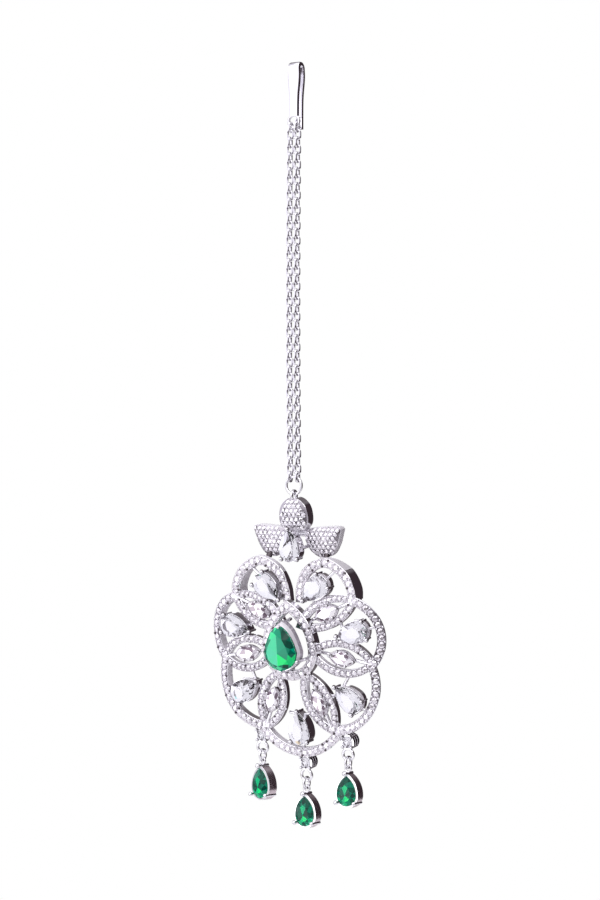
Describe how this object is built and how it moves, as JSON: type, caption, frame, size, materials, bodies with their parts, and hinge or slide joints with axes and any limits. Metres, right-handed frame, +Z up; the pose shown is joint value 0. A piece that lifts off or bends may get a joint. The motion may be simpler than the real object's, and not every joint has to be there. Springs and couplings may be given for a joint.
{
  "type": "hanging forehead ornament",
  "caption": "Forehead ornament with a hairpin hook, twin fine chains and a pierced lobed medallion set with clear and green pear stones and hanging drops.",
  "frame": {"origin": "inside of the hook's top bend, where it rests on what holds it", "axes": "+Z up, the medallion's face towards -Y, +X to the viewer's right of the face"},
  "size_m": [0.0448, 0.0165, 0.1728],
  "materials": {
    "silver": "bright polished silver-coloured plating",
    "clear_stone": "clear faceted stone",
    "green_stone": "deep green faceted stone"
  },
  "bodies": {
    "hanger": {"hook": "silver", "chain_strand_left": "silver", "chain_strand_right": "silver", "jump_ring": "silver"},
    "medallion": {"crown_stone": "clear_stone", "drop_ring_left": "silver", "drop_ring_middle": "silver", "drop_ring_right": "silver", "drop_setting_left": "silver", "drop_setting_middle": "silver", "drop_setting_right": "silver", "drop_stone_left": "green_stone", "drop_stone_middle": "green_stone", "drop_stone_right": "green_stone", "foot_stone_left": "clear_stone", "foot_stone_middle": "clear_stone", "foot_stone_right": "clear_stone", "lobe_stone_foot": "clear_stone", "lobe_stone_hip_left": "clear_stone", "lobe_stone_hip_right": "clear_stone", "lobe_stone_side_left": "clear_stone", "lobe_stone_side_right": "clear_stone", "lobe_stone_top_left": "clear_stone", "lobe_stone_top_right": "clear_stone", "medallion_frame": "silver", "middle_stone": "green_stone", "petal_stone_lower_left": "clear_stone", "petal_stone_lower_right": "clear_stone", "petal_stone_middle_left": "clear_stone", "petal_stone_middle_right": "clear_stone", "petal_stone_upper_left": "clear_stone", "petal_stone_upper_right": "clear_stone"}
  },
  "joints": [
    {"name": "medallion_swing", "type": "hinge", "parent": "hanger", "child": "medallion", "pos_m": [0, -0.00105, -0.0962], "axis": [1, 0, 0], "range_deg": [-60, 60]}
  ]
}
